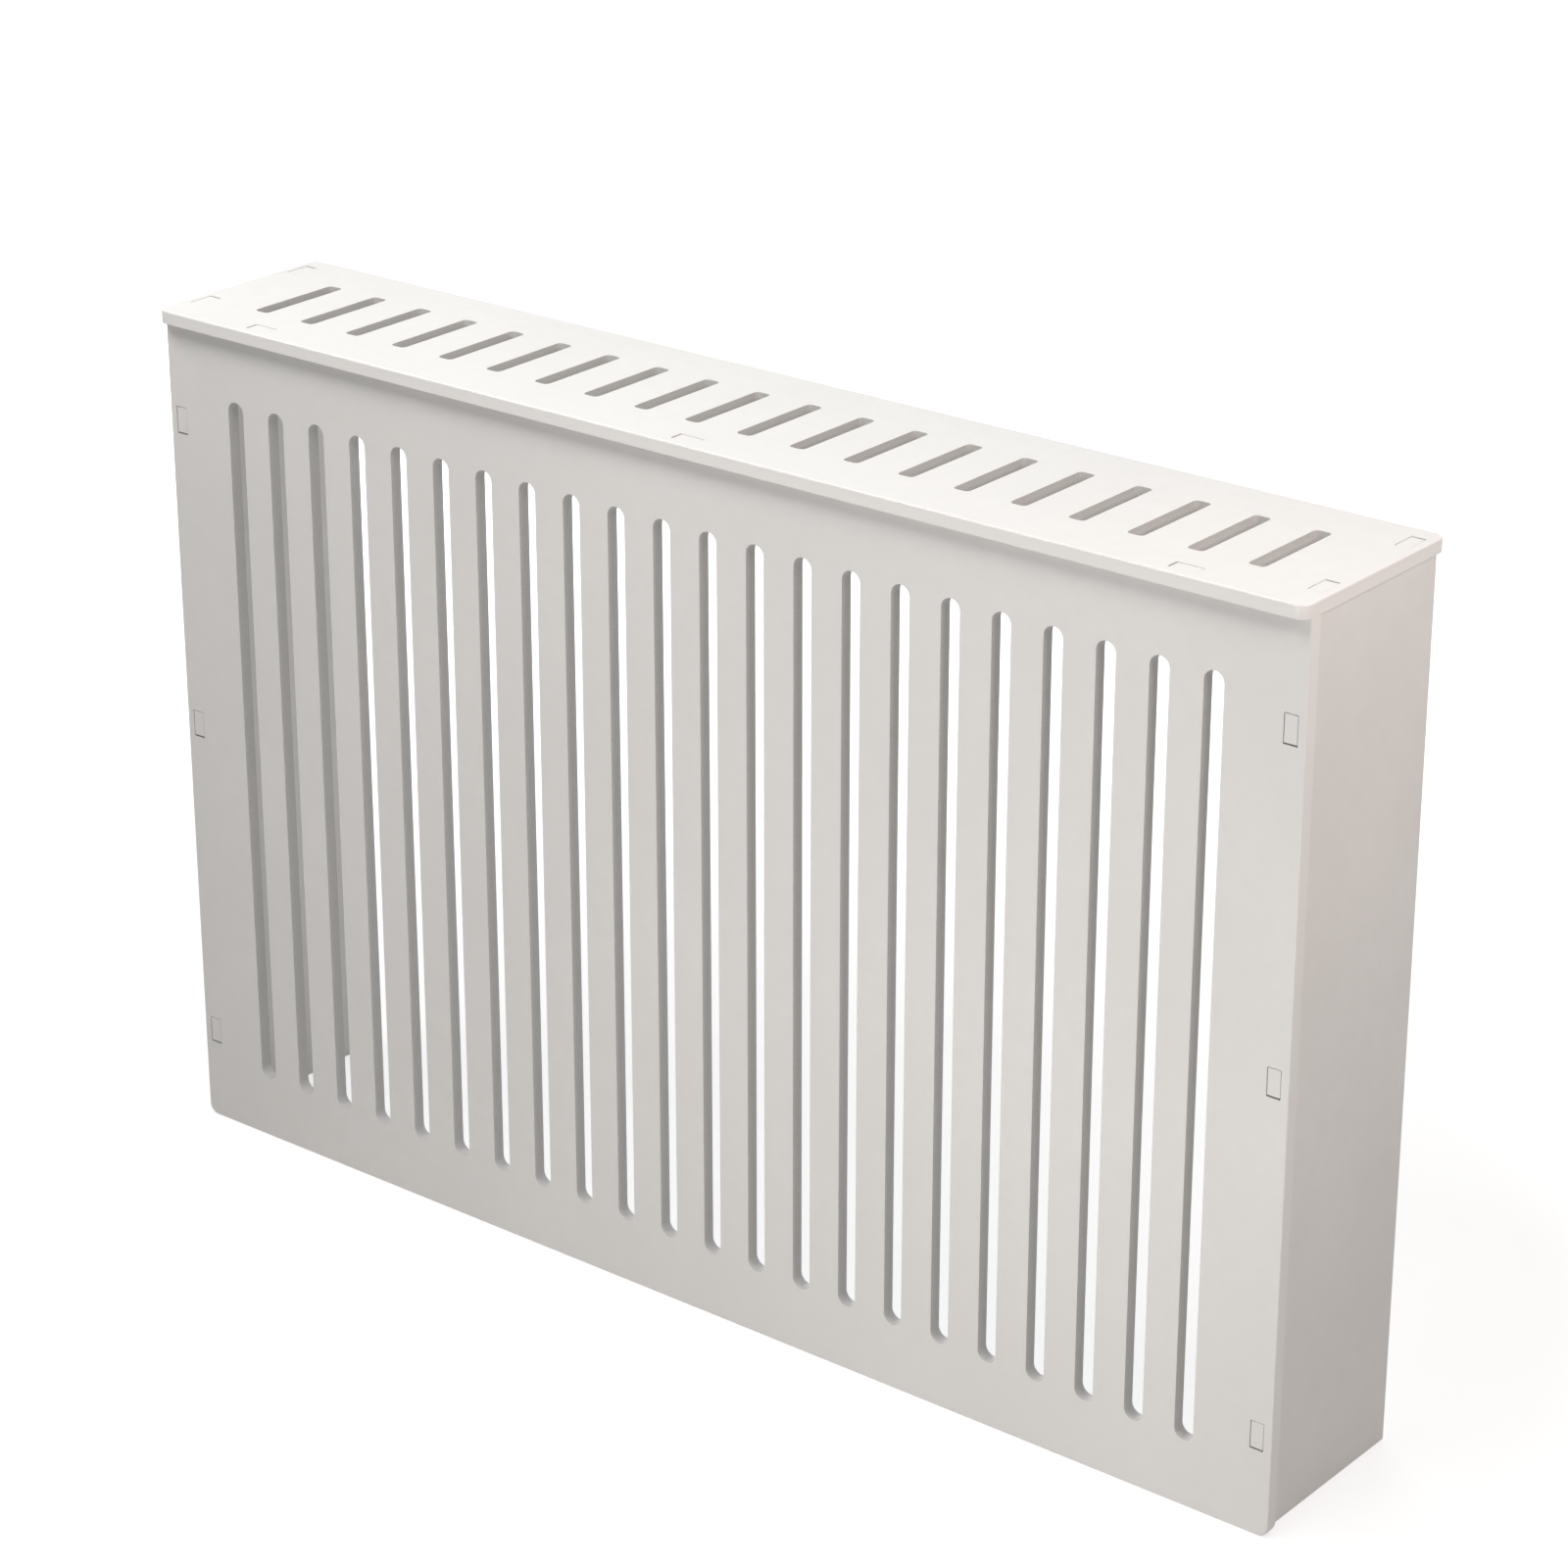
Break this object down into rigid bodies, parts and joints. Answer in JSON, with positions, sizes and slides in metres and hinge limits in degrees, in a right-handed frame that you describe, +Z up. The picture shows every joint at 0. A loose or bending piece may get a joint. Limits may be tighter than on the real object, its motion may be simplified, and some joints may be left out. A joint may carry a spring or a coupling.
{
  "type": "radiator cover cabinet",
  "caption": "White open-backed radiator cover: slotted front and lift-off slotted top on two plain sides, plugged together with through tenons.",
  "frame": {"origin": "on the floor, under the middle of the cabinet's width and depth", "axes": "+X along the width to the viewer's right, -Y out of the slotted front, +Y to the wall, +Z up"},
  "size_m": [1.2, 0.2, 0.8],
  "materials": {
    "white_board": "fibreboard in satin white lacquer",
    "bracket_steel": "bright zinc plate",
    "screw_steel": "bright zinc plate"
  },
  "bodies": {
    "cabinet": {"front_panel": "white_board", "left_side_panel": "white_board", "right_side_panel": "white_board", "left_wall_bracket": "bracket_steel", "right_wall_bracket": "bracket_steel", "left_bracket_screws": "screw_steel", "right_bracket_screws": "screw_steel"},
    "top": {"top_panel": "white_board"}
  },
  "joints": [
    {"name": "top_lift", "type": "slide", "parent": "cabinet", "child": "top", "axis": [0, 0, 1], "range_m": [0, 0.04]}
  ]
}
